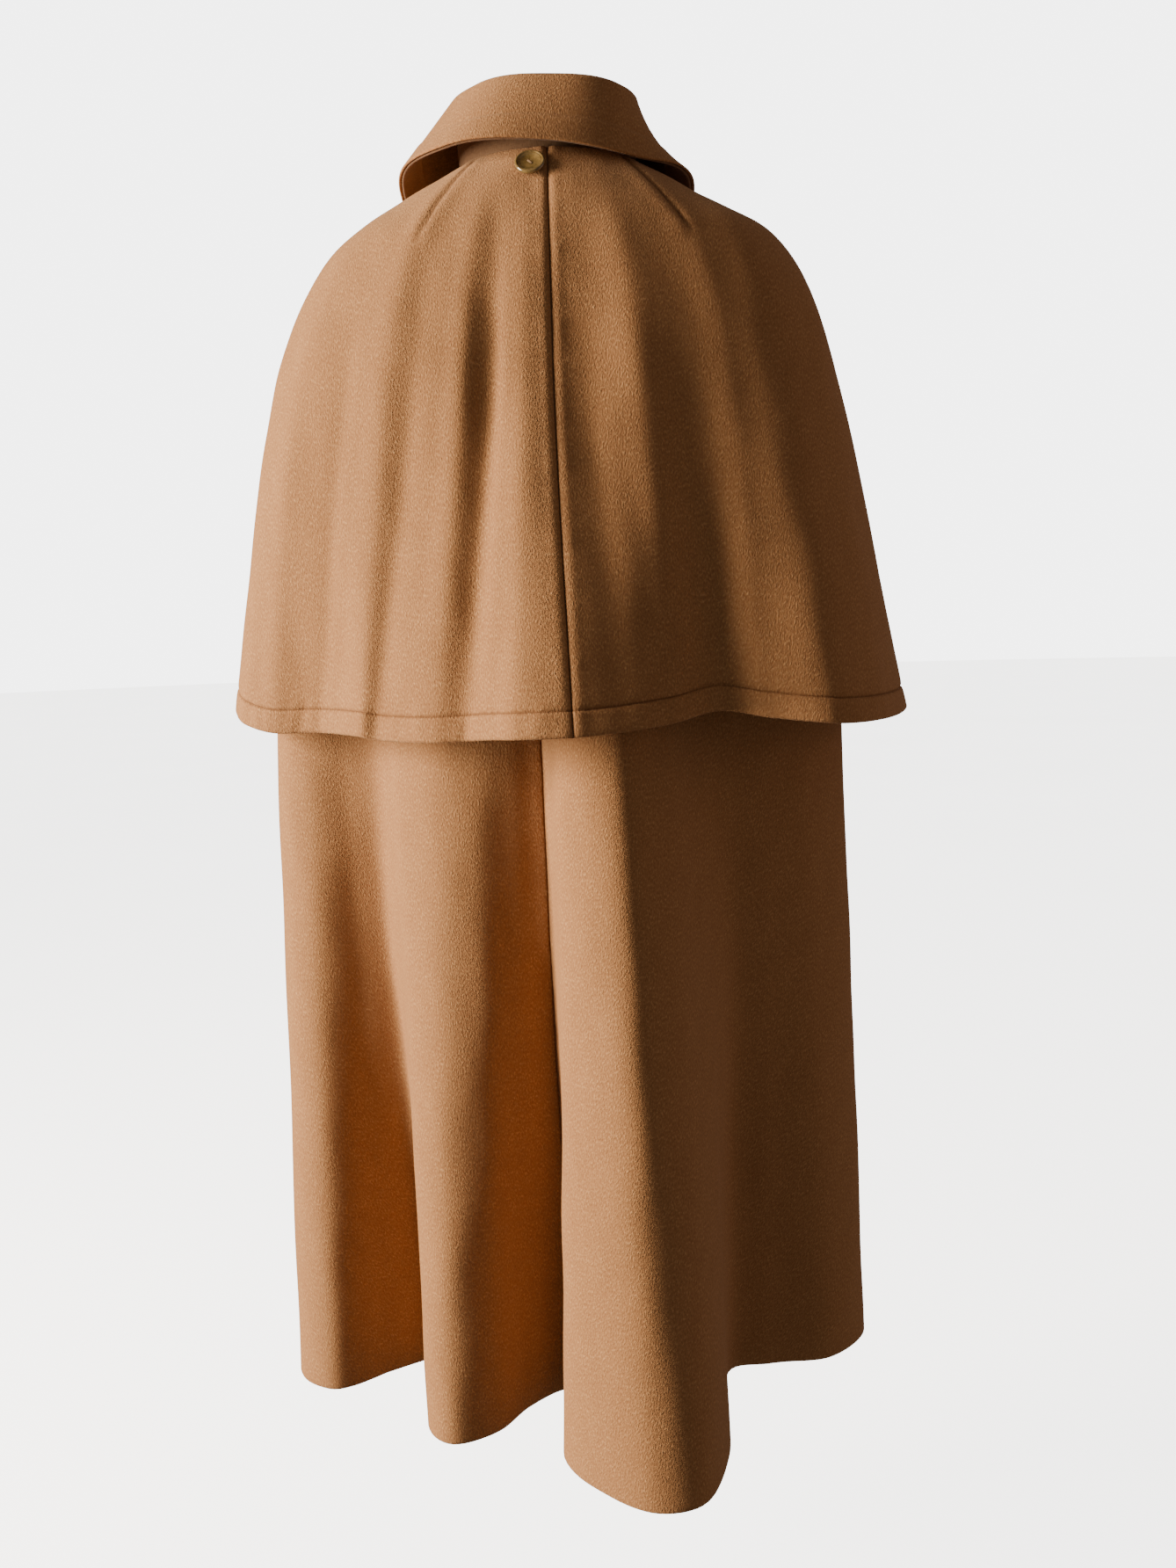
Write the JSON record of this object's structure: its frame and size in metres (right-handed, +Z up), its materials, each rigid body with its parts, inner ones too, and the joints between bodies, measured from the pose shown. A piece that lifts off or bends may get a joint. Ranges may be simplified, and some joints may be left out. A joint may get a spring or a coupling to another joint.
{
  "type": "wool cape with overcape",
  "caption": "Long camel wool cape with a shorter detachable overcape and a turned-down collar, filled out as if worn, hanging in soft flutes.",
  "frame": {"origin": "centre of the neck opening, level with the side of the neck, where the wearer's neck and shoulders hold the cape", "axes": "+Z up out of the neck opening, +Y to the wearer's back, +X to the wearer's left; the front faces -Y"},
  "size_m": [0.6174, 0.415, 1.1724],
  "materials": {
    "camel_wool": "felted wool with a short raised nap",
    "horn_button": "polished, horn-like, olive brown"
  },
  "bodies": {
    "root": {"cape_back_left": "camel_wool", "cape_back_right": "camel_wool", "cape_front_left": "camel_wool", "cape_front_right": "camel_wool", "overcape_back_left": "camel_wool", "overcape_back_right": "camel_wool", "overcape_front_left": "camel_wool", "overcape_front_right": "camel_wool", "upper_collar": "camel_wool", "under_collar": "camel_wool", "back_neck_button": "horn_button", "front_neck_button": "horn_button", "cape_front_button": "horn_button"}
  },
  "joints": []
}
